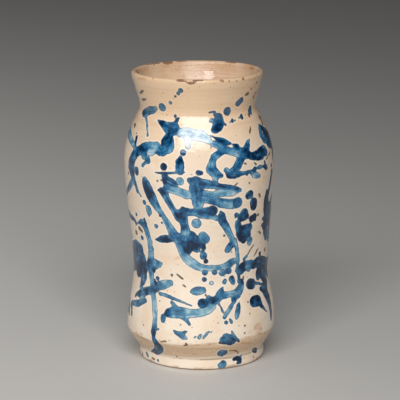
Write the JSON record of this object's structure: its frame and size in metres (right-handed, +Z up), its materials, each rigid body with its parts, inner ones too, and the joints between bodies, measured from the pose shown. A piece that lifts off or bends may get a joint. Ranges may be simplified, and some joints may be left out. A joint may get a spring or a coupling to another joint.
{
  "type": "albarello",
  "caption": "Waisted earthenware pharmacy jar with a flared rim, sloping shoulder and turned foot, tin-glazed inside and out and splashed with cobalt blue.",
  "frame": {"origin": "centre of the standing ring, on the surface that the jar stands on", "axes": "+Z up along the jar's axis, -Y towards the side with the pictured splashes, +X to that side's right"},
  "size_m": [0.1296, 0.1296, 0.25],
  "materials": {
    "fired_clay": "matt buff earthenware",
    "tin_glaze": "glossy cream tin glaze with fine brown specks",
    "glaze_lining": "glossy pinkish tin glaze",
    "cobalt_blue": "cobalt blue fired into the glaze"
  },
  "bodies": {
    "root": {"clay_body": "fired_clay", "outer_glaze": "tin_glaze", "inner_glaze": "glaze_lining", "cobalt_splashes": "cobalt_blue"}
  },
  "joints": []
}
